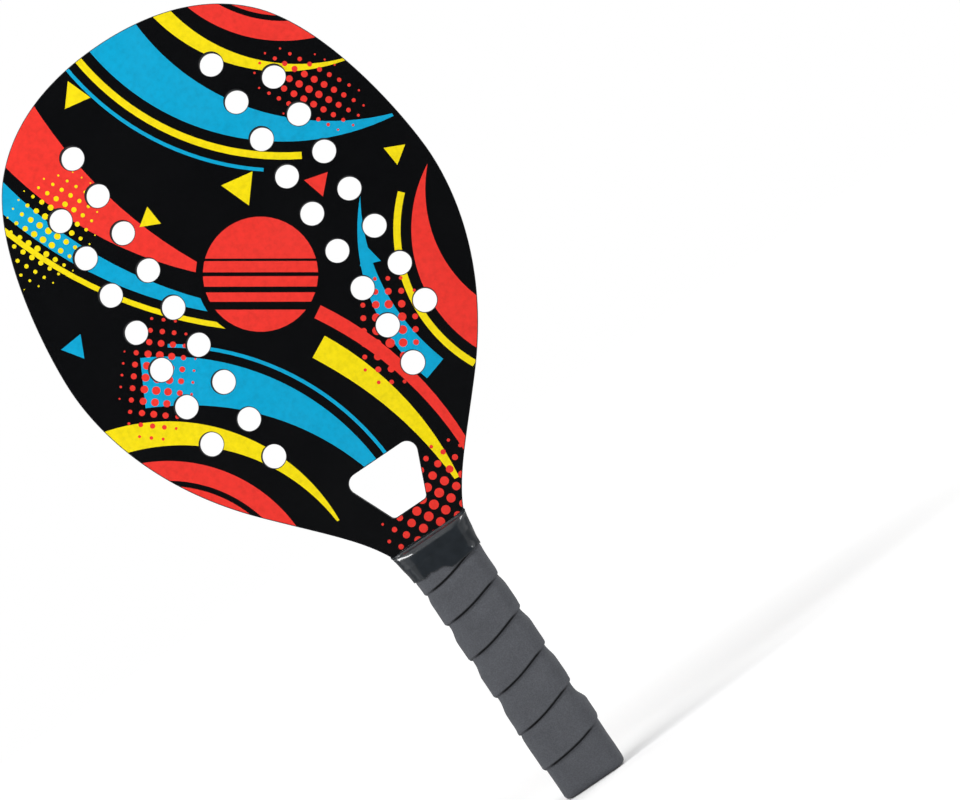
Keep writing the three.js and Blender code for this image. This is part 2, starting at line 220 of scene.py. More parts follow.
# The print, in millimetres across and up the racket, and degrees. A sweep is a stretch of a ring about
# its group's centre: ink, inner and outer radius, first and last angle, and how far it thins to its end.
SWEEPS = (
    ((134, 508), (
        (RED, 0, 84, 150, 290, 0), (BLACK, 70, 73, 150, 290, 0), (YELLOW, 90, 101, 160, 258, 0.9),
        (BLUE, 108, 140, 168, 262, 0.95), (YELLOW, 146, 150, 172, 240, 0), (BLUE, 155, 157, 172, 232, 0),
        (RED, 180, 218, 176, 228, 1), (BLUE, 224, 238, 182, 236, 0.8), (YELLOW, 243, 246, 184, 234, 0),
    )),
    ((-146, 208), (
        (RED, 0, 88, -20, 100, 0), (BLACK, 74, 77, -20, 100, 0), (YELLOW, 95, 110, 76, -4, 0.9),
        (BLUE, 118, 146, 62, 2, 0.75), (BLUE, 151, 153, 56, 2, 0), (YELLOW, 166, 180, 27, -8, 0.8),
        (RED, 186, 194, 30, -8, 0.5),
    )),
    ((152, 268), (
        (BLUE, 0, 46, 100, 260, 0), (RED, 53, 78, 210, 118, 1), (YELLOW, 84, 88, 206, 132, 0),
        (BLUE, 94, 108, 196, 136, 1),
    )),
)

# Points of a sweep that are closer together than this are one point.
SMALLEST_STEP = 0.01

# Fields of dots: ink, centre, half length and width, pitch, largest radius and slant.
DOT_FIELDS = (
    (YELLOW, (-80, 424), (40, 28), 5.8, 1.9, 24),
    (RED, (-76, 322), (44, 24), 6.6, 2.4, 50),
    (RED, (84, 408), (40, 22), 6.2, 2.1, 118),
    (RED, (46, 272), (40, 24), 7.2, 2.7, 58),
    (RED, (12, 178), (46, 30), 7.2, 2.8, 32),
)
DOT_SIDES = 14
SMALLEST_DOT_SHARE = 0.2

# Loose triangles: ink, centre, radius and slant.
CHIPS = (
    (YELLOW, (22, 384), 11, 20), (BLUE, (59, 312), 7, 70), (YELLOW, (-26, 478), 9, 80),
    (BLUE, (-104, 362), 8, 35), (RED, (59, 362), 8, 15), (YELLOW, (-30, 398), 7, 65),
    (YELLOW, (104, 352), 7, 5),
)

# The sun: centre, radius and slant, and the cuts across it, as drop below its centre and width.
SUN_CENTRE = (4, 338)
SUN_RADIUS = 32
SUN_HALO = 4
SUN_SLANT = -34
SUN_SIDES = 48
SUN_CUTS = ((-8, 1.4), (0, 2.2), (8.5, 3.2), (17.5, 4.4))


def linear(hex_colour):
    """An sRGB hex value as linear red, green and blue."""
    values = [int(hex_colour[i:i + 2], 16) / 255 for i in (1, 3, 5)]
    return tuple(v / 12.92 if v <= 0.04045 else ((v + 0.055) / 1.055) ** 2.4 for v in values)


def shaded(colour, share):
    return tuple(channel * share for channel in colour)


def smooth(value):
    """0 below 0, 1 above 1, and an even ease between them."""
    value = np.clip(value, 0, 1)
    return value * value * (3 - 2 * value)


def wave(turns):
    """A sine that comes round with every whole turn."""
    return np.sin(2 * math.pi * turns)


def size_property(name, description, default, lowest, highest):
    """A length that a user may change, given here in millimetres and shown in Blender's own units."""
    return FloatProperty(
        name=name, description=description, default=default * MM, min=lowest * MM, max=highest * MM,
        unit="LENGTH", subtype="DISTANCE", precision=4)


def colour_property(name, description, hex_colour):
    return FloatVectorProperty(
        name=name, description=description, default=linear(hex_colour), min=0, max=1, size=3,
        subtype="COLOR")


class RacketStageSettings(bpy.types.PropertyGroup):
    """The studio that the racket stands in."""

    lens: FloatProperty(
        name="Lens", description="Focal length of the camera", default=150, min=35, max=200,
        subtype="DISTANCE_CAMERA")
    fill: FloatProperty(
        name="Fill", description="Strength of the light from all around", default=0.9, min=0, max=2)
    key: FloatProperty(
        name="Lamps", description="Power that each lamp takes its share of, in watts", default=8.2,
        min=0, max=100)
    floor_colour: colour_property("Floor", "Colour of the studio floor", "#f4f4f4")


class RacketBoardSettings(bpy.types.PropertyGroup):
    """The routed board and its printed sheets."""

    edge_round: size_property(
        "Edge round", "Radius that sanding leaves on the board's edges", 0.45, 0.1, 1.2)
    outline_steps: IntProperty(
        name="Outline steps", description="Facets of each curve of the outline", default=36, min=9, max=90)
    hole_sides: IntProperty(
        name="Hole sides", description="Facets round each drilled hole", default=48, min=16, max=96)
    paint: colour_property("Edge paint", "Colour of the painted edges and hole walls", "#1b1c1f")
    black: colour_property("Black ink", "Ground colour of the printed faces", "#090a0c")
    red: colour_property("Red ink", "Red of the printed bands and dots", "#e6342b")
    blue: colour_property("Blue ink", "Blue of the printed bands", "#009ec9")
    yellow: colour_property("Yellow ink", "Yellow of the printed bands and dots", "#ecd602")


class RacketHandleSettings(bpy.types.PropertyGroup):
    """The glued cheeks and the wound tape."""

    wood: colour_property("Wood", "Pale wood of the cheeks", "#d9bd8f")
    late_wood: colour_property("Late wood", "Darker bands of the grain", "#b98f5c")
    foam: colour_property("Foam", "Colour of the foam tape", "#54565b")
    # The colour of the painted shade in the laps of the tape.
    painted_lap_shade: colour_property("Crease", "Colour deep in the laps of the tape", "#0f1012")
    thickness: size_property("Tape thickness", "Thickness of the foam tape", 1.4, 0.8, 2.4)
    turn_gap: size_property("Turn gap", "Air between a turn and the one below", 0.1, 0.02, 1)
    edge_round: size_property("Tape edge", "Radius of the pressed lap edge", 1.3, 0.4, 3)
    cell: size_property("Foam cell", "Width of the foam's cut cells", 0.8, 0.2, 3)
    stations: IntProperty(
        name="Stations", description="Sections of the tape in each turn", default=144, min=48, max=240)


class RacketSleeveSettings(bpy.types.PropertyGroup):
    """The shrunk sleeve over the neck."""

    film: colour_property("Film", "Colour of the shrunk film", "#22272c")
    wall: size_property("Film wall", "Thickness of the shrunk film", 0.25, 0.1, 0.8)
    ripple: size_property("Ripple", "Height of the film's shrinking ripples", 0.07, 0, 0.3)
    columns: IntProperty(
        name="Columns", description="Points of the film round the neck", default=280, min=96, max=480)


# Outlines, drawn in X and Z.


def direction(degrees):
    """The unit direction at an angle below the level, going right."""
    angle = math.radians(degrees)
    return np.array([math.cos(angle), -math.sin(angle)])


def arc(centre, radius, angles):
    """Points of a circle at the given angles."""
    return np.array(centre) + radius * np.stack([np.cos(angles), np.sin(angles)], axis=1)


def unit(vector):
    return vector / np.linalg.norm(vector)


def bezier(start, leaving, end, arriving, shares, steps):
    """A curve that leaves and arrives along the given directions, without its last point."""
    chord = np.linalg.norm(end - start)
    first = start + leaving * shares[0] * chord
    last = end - arriving * shares[1] * chord
    t = np.linspace(0, 1, steps, endpoint=False)[:, None]
    return (1 - t) ** 3 * start + 3 * (1 - t) ** 2 * t * first + 3 * (1 - t) * t ** 2 * last + t ** 3 * end


def half_outline(steps):
    """The blade's right side from the tip down to the handle, as four tangent curves."""
    joints = [(np.array(place), direction(degrees)) for *place, degrees in (
        (0, RACKET_LENGTH, 0),
        (SHOULDER_HALF_WIDTH, RACKET_LENGTH - SHOULDER_DROP, SHOULDER_DEGREES),
        (HALF_HEAD_WIDTH, HANDLE_LENGTH + WIDEST_RISE, 90),
        (FLANK_HALF_WIDTH, HANDLE_LENGTH + FLANK_RISE, FLANK_DEGREES),
        (HANDLE_HALF_WIDTH, HANDLE_LENGTH, 90),
    )]
    return [
        bezier(*start, *end, shares, steps)
        for start, end, shares in zip(joints, joints[1:], REACH_SHARES)]


def board_outline(steps):
    """The whole outline, anticlockwise from the butt's right corner."""
    side = np.vstack([*half_outline(steps), [[HANDLE_HALF_WIDTH, HANDLE_LENGTH]]])
    centre = (HANDLE_HALF_WIDTH - BUTT_RADIUS, BUTT_RADIUS)
    butt = arc(centre, BUTT_RADIUS, np.linspace(0, -math.pi / 2, steps // 3))
    right = np.vstack([side, butt])[::-1]
    left = right[:-1][::-1] * [-1, 1]
    return np.vstack([right, left])


def circle(centre, radius, sides):
    return arc(centre, radius, np.linspace(0, 2 * math.pi, sides, endpoint=False))


def hole_centres():
    """The centres of all holes: an inner column on each side, and an outer one a row shorter at each end."""
    top = RACKET_LENGTH - TOP_ROW_DROP
    centres = []
    for side in (-1, 1):
        outer = side * (INNER_COLUMN + HOLE_PITCH)
        centres += [(side * INNER_COLUMN, top - row * HOLE_PITCH) for row in range(INNER_ROWS)]
        centres += [(outer, top - row * HOLE_PITCH) for row in range(1, INNER_ROWS - 1)]
    return centres


def rounded_polygon(corners, radii, steps):
    """A closed outline with an arc of its own radius at each corner, anticlockwise."""
    corners = [np.array(corner) for corner in corners]
    arcs = []
    for i, (corner, radius) in enumerate(zip(corners, radii)):
        back = unit(corners[i - 1] - corner)
        onward = unit(corners[(i + 1) % len(corners)] - corner)
        inward = unit(back + onward)
        half_angle = math.acos(float(back @ onward)) / 2
        half_turn = math.pi / 2 - half_angle
        middle = math.atan2(inward[1], inward[0]) + math.pi
        centre = corner + inward * radius / math.sin(half_angle)
        arcs.append(arc(centre, radius, np.linspace(middle - half_turn, middle + half_turn, steps)))
    return np.vstack(arcs)


def throat_outline(steps):
    foot = HANDLE_LENGTH + THROAT_RISE
    top = foot + THROAT_HEIGHT
    low, high = THROAT_FOOT_HALF_WIDTH, THROAT_TOP_HALF_WIDTH
    corners = [(-low, foot), (low, foot), (high, top), (-high, top)]
    radii = [THROAT_FOOT_RADIUS, THROAT_FOOT_RADIUS, THROAT_TOP_RADIUS, THROAT_TOP_RADIUS]
    return rounded_polygon(corners, radii, steps)


def moved_in(loop, distance):
    """An anticlockwise loop drawn in on all sides, or let out where the distance is negative."""
    tangent = np.roll(loop, -1, axis=0) - np.roll(loop, 1, axis=0)
    tangent /= np.linalg.norm(tangent, axis=1)[:, None]
    return loop + np.stack([-tangent[:, 1], tangent[:, 0]], axis=1) * distance


def board_loops(settings, inset):
    """The outline and then every opening, each set back into the board by the inset."""
    sides = settings.hole_sides
    loops = [moved_in(board_outline(settings.outline_steps), inset)]
    loops += [moved_in(circle(centre, HOLE_RADIUS, sides), -inset) for centre in hole_centres()]
    loops.append(moved_in(throat_outline(sides // 4), -inset))
    return loops


def filled(loops, art=()):
    """Points and triangles that fill the first loop outside the others. With each triangle comes the
    number of the last art polygon over it, or -1."""
    points, faces = [], []
    for polygon in [*loops, *art]:
        faces.append(list(range(len(points), len(points) + len(polygon))))
        points += [Vector(point) for point in polygon]
    placed, _, triangles, _, _, origins = delaunay_2d_cdt(points, [], faces, 0, JOIN_DISTANCE)
    openings = set(range(1, len(loops)))
    kept, covers = [], []
    for triangle, origin in zip(triangles, origins):
        if 0 in origin and not openings & set(origin):
            kept.append(triangle)
            covers.append(max(max(origin) - len(loops), -1))
    used = sorted({i for triangle in kept for i in triangle})
    number = {old: new for new, old in enumerate(used)}
    kept = [tuple(number[i] for i in triangle) for triangle in kept]
    return [placed[i] for i in used], kept, covers


# Meshes.


def add_object(name, data):
    added = bpy.data.objects.new(name, data)
    bpy.context.scene.collection.objects.link(added)
    return added


def make_piece(name, vertices, faces, materials, indices=None, flat_from=None):
    """A mesh object whose faces point outwards and are smooth, or flat from the given face on."""
    mesh = bpy.data.meshes.new(name)
    mesh.from_pydata([tuple(vertex) for vertex in vertices], [], faces)
    for material in materials:
        mesh.materials.append(material)
    if indices is not None:
        mesh.polygons.foreach_set("material_index", indices)
    flat_from = len(faces) if flat_from is None else flat_from
    mesh.polygons.foreach_set("use_smooth", [i < flat_from for i in range(len(faces))])
    work = bmesh.new()
    work.from_mesh(mesh)
    bmesh.ops.remove_doubles(work, verts=work.verts, dist=JOIN_DISTANCE)
    bmesh.ops.recalc_face_normals(work, faces=work.faces)
    work.to_mesh(mesh)
    work.free()
    mesh.update()
    return add_object(name, mesh)


def settle(piece, slot, *nodes):
    """The piece rides on the racket and stands for the nodes, whose imported parts are hidden. The slot is
    not used.
    """
    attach(piece, BODY)
    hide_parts(*nodes)


def grid_faces(rows, columns, closed):
    """Quads over a grid of points that is given row by row. A closed grid's rows are loops."""
    faces = []
    for row in range(rows - 1):
        low, high = row * columns, (row + 1) * columns
        for i in range(columns if closed else columns - 1):
            following = (i + 1) % columns
            faces.append((low + i, low + following, high + following, high + i))
    return faces


# Materials.


def add_node(tree, kind, inputs=None, stops=(), **settings):
    """Adds a node with its settings. Each input takes a value or a link, from an output or from a node's
    first output. A colour ramp takes (position, colour) stops."""
    node = tree.nodes.new(kind)
    for name, value in settings.items():
        setattr(node, name, value)
    for name, value in (inputs or {}).items():
        if isinstance(value, bpy.types.Node):
            value = value.outputs[0]
        if isinstance(value, bpy.types.NodeSocket):
            tree.links.new(value, node.inputs[name])
        else:
            node.inputs[name].default_value = value
    elements = node.color_ramp.elements if stops else ()
    while len(elements) < len(stops):
        elements.new(0.5)
    for element, (position, colour) in zip(elements, stops):
        element.position, element.color = position, (*colour, 1)
    return node


def cleared(owner):
    """Clears the nodes of a material or a world, and gives the function that adds new ones."""
    owner.use_nodes = True
    owner.node_tree.nodes.clear()
    return partial(add_node, owner.node_tree)


def new_material(name):
    """A material, the function that adds its nodes, and the place of each surface point in metres."""
    material = bpy.data.materials.new(name)
    add = cleared(material)
    return material, add, add("ShaderNodeTexCoord").outputs["Object"]


def lacquered_ink(name, ink):
    """Screen ink on a paper film under rolled satin lacquer. The ink has a faint mottle, and the roller's
    orange peel breaks a reflection up softly."""
    material, add, place = new_material(name)
    mottle = add("ShaderNodeTexNoise", {
        "Vector": place, "Scale": 1 / (3 * MM), "Detail": 4, "Roughness": 0.6})
    peel = add("ShaderNodeTexNoise", {"Vector": place, "Scale": 1 / (1.6 * MM), "Detail": 2})
    swell = add("ShaderNodeTexNoise", {
        "Vector": place, "Scale": 1 / (28 * MM), "Detail": 1, "Roughness": 0.4})
    tone = add("ShaderNodeValToRGB", {"Fac": mottle}, stops=(
        (0.3, shaded(ink, 0.9)), (0.5, ink), (0.72, shaded(ink, 1.07))))
    roughness = add("ShaderNodeMapRange", {
        "Value": swell, "From Min": 0.3, "From Max": 0.7, "To Min": 0.16, "To Max": 0.22})
    height = add("ShaderNodeMath", {0: peel, 1: swell}, operation="ADD")
    bump = add("ShaderNodeBump", {"Height": height, "Strength": 0.12, "Distance": 0.08 * MM})
    shader = add("ShaderNodeBsdfPrincipled", {
        "Base Color": tone, "Roughness": roughness, "Specular IOR Level": 0.4, "Coat Weight": 0.15,
        "Coat Roughness": 0.14, "Normal": bump})
    add("ShaderNodeOutputMaterial", {"Surface": shader})
    return material


def painted_fibreboard(paint):
    """Routed fibreboard, sealed and brushed with edge paint. The cut fibres stand up as a fine nap, with the
    paint painted lighter on the raised fibres and darker between them as highlight and shade, and a bright
    room glances off the walls of the holes as a soft grey."""
    material, add, place = new_material("edge_painted_fibreboard")
    across = add("ShaderNodeMapping", {"Vector": place, "Scale": (1, 2.6, 1)})
    nap = add("ShaderNodeTexNoise", {
        "Vector": across, "Scale": 1 / (0.7 * MM), "Detail": 5, "Roughness": 0.65})
    # Painted highlight and shade: the paint is lighter where the nap stands high and darker where it is low.
    tone = add("ShaderNodeValToRGB", {"Fac": nap}, stops=(
        (0.3, shaded(paint, 0.6)), (0.55, paint), (0.8, shaded(paint, 2.2))))
    bump = add("ShaderNodeBump", {"Height": nap, "Strength": 0.5, "Distance": 0.12 * MM})
    shader = add("ShaderNodeBsdfPrincipled", {"Base Color": tone, "Roughness": 0.42, "Normal": bump})
    add("ShaderNodeOutputMaterial", {"Surface": shader})
    return material


def sanded_poplar(wood, late_wood):
    """Sawn and sanded poplar: pale straight grain along the handle with soft darker late wood, and a matt
    surface that the saw leaves a little furry."""
    material, add, place = new_material("sanded_poplar")
    along = add("ShaderNodeMapping", {"Vector": place, "Scale": (1, 1, 0.06)})
    rings = add("ShaderNodeTexWave", {
        "Vector": along, "Scale": 1 / (16 * MM), "Distortion": 3, "Detail": 3, "Detail Scale": 1.4})
    fibres = add("ShaderNodeTexNoise", {
        "Vector": along, "Scale": 1 / (0.5 * MM), "Detail": 3, "Roughness": 0.6})
    grain = add("ShaderNodeMath", {0: rings.outputs["Fac"], 1: fibres}, operation="MULTIPLY")
    tone = add("ShaderNodeValToRGB", {"Fac": grain}, stops=((0.1, wood), (0.7, late_wood)))
    bump = add("ShaderNodeBump", {"Height": fibres, "Strength": 0.35, "Distance": 0.1 * MM})
    shader = add("ShaderNodeBsdfPrincipled", {"Base Color": tone, "Roughness": 0.7, "Normal": bump})
    add("ShaderNodeOutputMaterial", {"Surface": shader})
    return material


def closed_cell_foam(foam, painted_lap_shade, cell):
    """Closed-cell foam, skived into a tape. Its cut cells give a fine matt tooth with small pits, painted
    darker in the pits and lighter on the tooth as shade and highlight. Painted shade darkens the lap
    where a turn laps the one below."""
    material, add, place = new_material("closed_cell_foam")
    cells = add("ShaderNodeTexVoronoi", {"Vector": place, "Scale": 1 / cell})
    tooth = add("ShaderNodeTexNoise", {
        "Vector": place, "Scale": 1 / (1.3 * cell), "Detail": 5, "Roughness": 0.7})
    clouds = add("ShaderNodeTexNoise", {
        "Vector": place, "Scale": 1 / (9 * MM), "Detail": 3, "Roughness": 0.55})
    pits = add("ShaderNodeMath", {0: cells, 1: tooth}, operation="MULTIPLY")
    # Painted shade and highlight: the foam is darker in the pits and lighter on the tooth, as the bump
    # rises.
    fine = add("ShaderNodeValToRGB", {"Fac": pits}, stops=(
        (0.05, shaded(foam, 0.8)), (0.3, foam), (0.62, shaded(foam, 1.18))))
    wide = add("ShaderNodeValToRGB", {"Fac": clouds}, stops=((0.3, (0.9, 0.9, 0.9)), (0.7, (1, 1, 1))))
    cloudy = add("ShaderNodeMix", {0: 1, 6: fine, 7: wide}, data_type="RGBA", blend_type="MULTIPLY")
    # Painted shade: the lap mask darkens the foam towards the painted lap shade colour.
    depth = add("ShaderNodeAttribute", attribute_name="painted_lap_shade")
    tone = add("ShaderNodeMix", {
        0: depth.outputs["Fac"], 6: cloudy.outputs[2], 7: (*painted_lap_shade, 1)}, data_type="RGBA")
    bump = add("ShaderNodeBump", {"Height": pits, "Strength": 0.55, "Distance": 0.16 * MM})
    shader = add("ShaderNodeBsdfPrincipled", {
        "Base Color": tone.outputs[2], "Roughness": 0.93, "Specular IOR Level": 0.2, "Normal": bump,
        "Sheen Weight": 0.04, "Sheen Roughness": 0.6})
    add("ShaderNodeOutputMaterial", {"Surface": shader})
    return material


def shrunk_film(name, film, alpha):
    """Heat-shrunk polyester film: glossy and nearly black, with fine ripples that bend its reflections, and
    its colour painted lighter on their crests and darker in their troughs, as highlight and shade. Where a
    single layer lies on the print, it lets a little of the print through."""
    material, add, place = new_material(name)
    ripples = add("ShaderNodeTexNoise", {"Vector": place, "Scale": 1 / (6 * MM), "Detail": 3})
    dust = add("ShaderNodeTexNoise", {
        "Vector": place, "Scale": 1 / (0.9 * MM), "Detail": 2, "Roughness": 0.6})
    # Painted highlight and shade: the film is lighter on the ripples' crests and darker in their troughs.
    tone = add("ShaderNodeValToRGB", {"Fac": ripples}, stops=(
        (0.3, shaded(film, 0.85)), (0.7, shaded(film, 1.15))))
    roughness = add("ShaderNodeMapRange", {
        "Value": dust, "From Min": 0.3, "From Max": 0.75, "To Min": 0.05, "To Max": 0.13})
    bump = add("ShaderNodeBump", {"Height": ripples, "Strength": 0.15, "Distance": 0.35 * MM})
    shader = add("ShaderNodeBsdfPrincipled", {
        "Base Color": tone, "Roughness": 0.3, "Specular IOR Level": 0.3, "Normal": bump, "Alpha": alpha,
        "Coat Weight": 1, "Coat IOR": 1.62, "Coat Roughness": roughness, "Coat Normal": bump})
    add("ShaderNodeOutputMaterial", {"Surface": shader})
    return material


# The print.


def turned(points, degrees):
    angle = math.radians(degrees)
    turn = np.array([[math.cos(angle), math.sin(angle)], [-math.sin(angle), math.cos(angle)]])
    return np.array(points) @ turn


def bar(centre, length, width, degrees):
    """A straight stripe about its centre."""
    half = np.array([[-1, -1], [1, -1], [1, 1], [-1, 1]]) * [length / 2, width / 2]
    return turned(half, degrees) + centre


def sweep(centre, inner, outer, start, end, taper):
    """A stretch of a ring between two radii and two angles, anticlockwise, which thins from inside towards
    its end."""
    share = np.linspace(0, 1, max(9, int(abs(end - start) / 2.5)))
    angles = np.radians(start + (end - start) * share)
    spokes = arc((0, 0), 1, angles)
    inside = inner + (outer - inner) * taper * share ** 1.6
    ring = np.vstack([outer * spokes, (inside[:, None] * spokes)[::-1]])
    apart = np.linalg.norm(ring - np.roll(ring, 1, axis=0), axis=1) > SMALLEST_STEP
    return centre + ring[apart][::1 if end > start else -1]


def dot_field(centre, half_length, half_width, pitch, biggest, degrees):
    """Dots on a turned square grid, which shrink from the middle of an oval field to its rim."""
    dots = []
    reach = int(half_length / pitch) + 1
    for row in range(-reach, reach + 1):
        for column in range(-reach, reach + 1):
            place = np.array([column, row]) * pitch
            fade = math.hypot(place[0] / half_length, place[1] / half_width)
            radius = biggest * (1 - fade * fade)
            if radius > biggest * SMALLEST_DOT_SHARE:
                dots.append(circle(turned(place, degrees) + centre, radius, DOT_SIDES))
    return dots


def sun_art():
    """A disc in a black halo, cut by bars that widen downwards."""
    centre = np.array(SUN_CENTRE)
    discs = ((BLACK, SUN_RADIUS + SUN_HALO), (RED, SUN_RADIUS))
    art = [(ink, circle(centre, radius, SUN_SIDES)) for ink, radius in discs]
    for drop, width in SUN_CUTS:
        chord = 2 * math.sqrt(SUN_RADIUS ** 2 - drop ** 2) + SUN_HALO
        art.append((BLACK, bar(centre + turned([0, -drop], SUN_SLANT), chord, width, SUN_SLANT)))
    return art


def face_art():
    """The print as (ink, polygon) pairs in metres, each over the ones before."""
    art = []
    for centre, sweeps in SWEEPS:
        art += [(ink, sweep(np.array(centre), *shape)) for ink, *shape in sweeps]
    for ink, centre, halves, pitch, biggest, degrees in DOT_FIELDS:
        art += [(ink, dot) for dot in dot_field(np.array(centre), *halves, pitch, biggest, degrees)]
    art += sun_art()
    for ink, centre, radius, degrees in CHIPS:
        art.append((ink, turned(circle((0, 0), radius, 3), degrees) + centre))
    return [(ink, polygon * MM) for ink, polygon in art]


def print_sheet(name, side, materials, settings):
    """One printed sheet. The art is cut into its face as real edges. side is -1 in front, 1 at the back."""
    art = face_art()
    loops = board_loops(settings, settings.edge_round)
    points, triangles, covers = filled(loops, [polygon for _, polygon in art])
    inks = [BLACK if cover < 0 else art[cover][0] for cover in covers]
    outer, inner = side * FACE_DEPTH, side * (CORE_HALF_THICKNESS + GLUE_GAP)
    count = len(points)
    vertices = [(point.x * -side, depth, point.y) for depth in (outer, inner) for point in points]
    faces = [*triangles, *[tuple(i + count for i in reversed(triangle)) for triangle in triangles]]
    indices = [*inks, *[BLACK] * len(triangles)]
    edges = {pair for triangle in triangles for pair in zip(triangle, triangle[1:] + triangle[:1])}
    for a, b in sorted(edges):
        if (b, a) not in edges:
            faces.append((a, b, b + count, a + count))
            indices.append(BLACK)
    return make_piece(name, vertices, faces, materials, indices, flat_from=0)


def board_body(material, settings):
    """The routed board: its outer side and the walls of all openings, rounded into both faces."""
    round_steps = 4
    radius = settings.edge_round
    lap = FACE_DEPTH - SHEET_STEP
    angles = np.linspace(0, math.pi / 2, round_steps)
    profile = [(radius, -CORE_HALF_THICKNESS), (radius, -lap)]
    profile += [(radius * (1 - math.sin(a)), -lap + radius * (1 - math.cos(a))) for a in angles[1:]]
    profile += [(inset, -depth) for inset, depth in reversed(profile)]
    rings = [board_loops(settings, inset) for inset, _ in profile]
    vertices, faces = [], []
    for loop_index in range(len(rings[0])):
        start = len(vertices)
        count = len(rings[0][loop_index])
        for ring, (_, depth) in zip(rings, profile):
            vertices += [(x, depth, z) for x, z in ring[loop_index]]
        faces += [tuple(start + i for i in face) for face in grid_faces(len(profile), count, True)]
    smooth_count = len(faces)
    points, triangles, _ = filled(rings[0])
    for depth in (profile[0][1], profile[-1][1]):
        start = len(vertices)
        vertices += [(point.x, depth, point.y) for point in points]
        faces += [tuple(start + i for i in triangle) for triangle in triangles]
    return make_piece("routed_board", vertices, faces, [material], flat_from=smooth_count)


# The handle's sections. A share of 0 is the middle of the left side, and shares run once round by the
# front, the right side and the back.


def half_width_at(height):
    """Half the board's width at each height between the butt and the throat."""
    neck = half_outline(NECK_STEPS)[-1][::-1]
    return np.interp(height, neck[:, 1], neck[:, 0], left=HANDLE_HALF_WIDTH)


def section_marks():
    """The shares where the flats and corners of the bare handle's section meet."""
    radius = HANDLE_HALF_DEPTH - FACE_DEPTH
    bend, flat, side = math.pi / 2 * radius, 2 * (HANDLE_HALF_WIDTH - radius), FACE_DEPTH
    runs = np.cumsum([0, side, bend, flat, bend, 2 * side, bend, flat, bend, side])
    return runs / runs[-1]


def facing(share):
    """The corner that a point of the section belongs to, from -1 to 1 in X and Y, and its angle."""
    marks = section_marks()
    share = share % 1
    corner_x = np.interp(share, marks, [-1, -1, -1, 1, 1, 1, 1, -1, -1, -1])
    corner_y = np.interp(share, marks, [0, -1, -1, -1, -1, 1, 1, 1, 1, 0])
    angle = np.interp(share, marks, math.pi * np.array([1, 1, 1.5, 1.5, 2, 2, 2.5, 2.5, 3, 3]))
    return corner_x, corner_y, angle


def section_points(share, half_width, half_depth, height, corner=None):
    """Points of level sections: rectangles whose corners are rounded from the board's faces outwards. The
    corners are round, or reach the given length in from the sides."""
    corner_x, corner_y, angle = facing(share)
    radius = half_depth - FACE_DEPTH
    corner = radius if corner is None else corner
    x = corner_x * (half_width - corner) + corner * np.cos(angle)
    y = corner_y * FACE_DEPTH + radius * np.sin(angle)
    return np.stack(np.broadcast_arrays(x, y, height), axis=-1)


# The wound tape.


def lap_lag(turn):
    """How far the lapping edge falls behind where the tape is pulled flat over the front."""
    angle = 2 * math.pi * turn
    parts = (1, np.cos(angle), np.sin(angle), np.cos(2 * angle), np.sin(2 * angle))
    return MM * sum(size * part for size, part in zip(LAP_LAG, parts))


def lap_height(turn):
    """The height of the tape's lapping edge."""
    s = np.clip((turn - CLIMB_START) / -CLIMB_START, 0, 1)
    slope = WINDING_PITCH - 2 * math.pi * MM * (LAP_LAG[2] + 2 * LAP_LAG[4])
    climb = FIRST_LAP_HEIGHT * s * s * (3 - 2 * s) - CLIMB_START * slope * s * s * (s - 1)
    share = np.clip(turn / CLIMBING_TURNS, 0, 1)
    drift = WINDING_DRIFT * np.sin(math.pi * share * share)
    sag = FIRST_SAG * np.exp(-((turn - SAG_TURN) / SAG_TURNS) ** 2)
    even = FIRST_LAP_HEIGHT + WINDING_PITCH * turn
    return np.where(turn < 0, climb, even + drift - lap_lag(turn) - sag)


def tape_width(turn):
    """The tape is trimmed level under the sleeve."""
    return np.minimum(TAPE_WIDTH, TAPE_TOP - lap_height(turn))


def tape_thickness(height, thickness):
    """The foam is skived thin towards its trimmed edge."""
    share = np.clip((TAPE_TOP - height) / SKIVE_LENGTH, 0, 1)
    return SKIVED_THICKNESS + (thickness - SKIVED_THICKNESS) * share


def tape_lift(turn, height, settings):
    """How far the turns below lift the tape off the handle. Past their edge it bridges down, and later
    over the thick start."""
    on_top = smooth((turn - CLIMB_START + RAMP_SHARE) / RAMP_SHARE)
    if not on_top.any():
        return np.zeros_like(height)
    below = turn - 1
    edge = lap_height(below) + tape_width(below)
    room = BRIDGE_ROOM + START_ROOM * smooth(2 - 2 * turn)
    bridge = smooth((edge + room + BRIDGE_LENGTH - height) / BRIDGE_LENGTH)
    layer = tape_thickness(height, settings.thickness) + settings.turn_gap
    return (tape_lift(below, height, settings) + layer) * on_top * bridge


def butt_inset(height):
    """How far the butt's rounding draws the handle in."""
    up = np.clip(BUTT_RADIUS - height, 0, BUTT_RADIUS)
    return BUTT_RADIUS - np.sqrt(BUTT_RADIUS ** 2 - up ** 2)


def tape_rows(turn, settings):
    """Distances up from the lapping edge: close together round the edge and where the next turn's edge
    comes to lie, and wide apart elsewhere."""
    width = tape_width(turn)
    edge = settings.edge_round
    following = np.clip(lap_height(turn + 1) - lap_height(turn), 2 * edge, width - edge)
    edge_shares = np.array([0, 0.03, 0.1, 0.2, 0.35, 0.55, 0.78])
    fine = np.array([-0.9, -0.6, -0.4, -0.25, -0.1, 0.1, 0.6]) * MM
    plain = np.linspace(0, 1, 14)[:-1]
    rest = np.linspace(0, 1, 4)[1:]
    rows = [
        edge * edge_shares + 0 * turn,
        edge + (following + fine[0] - edge) * plain,
        following + fine,
        following + fine[-1] + (width - following - fine[-1]) * rest,
    ]
    return np.concatenate(rows, axis=1)


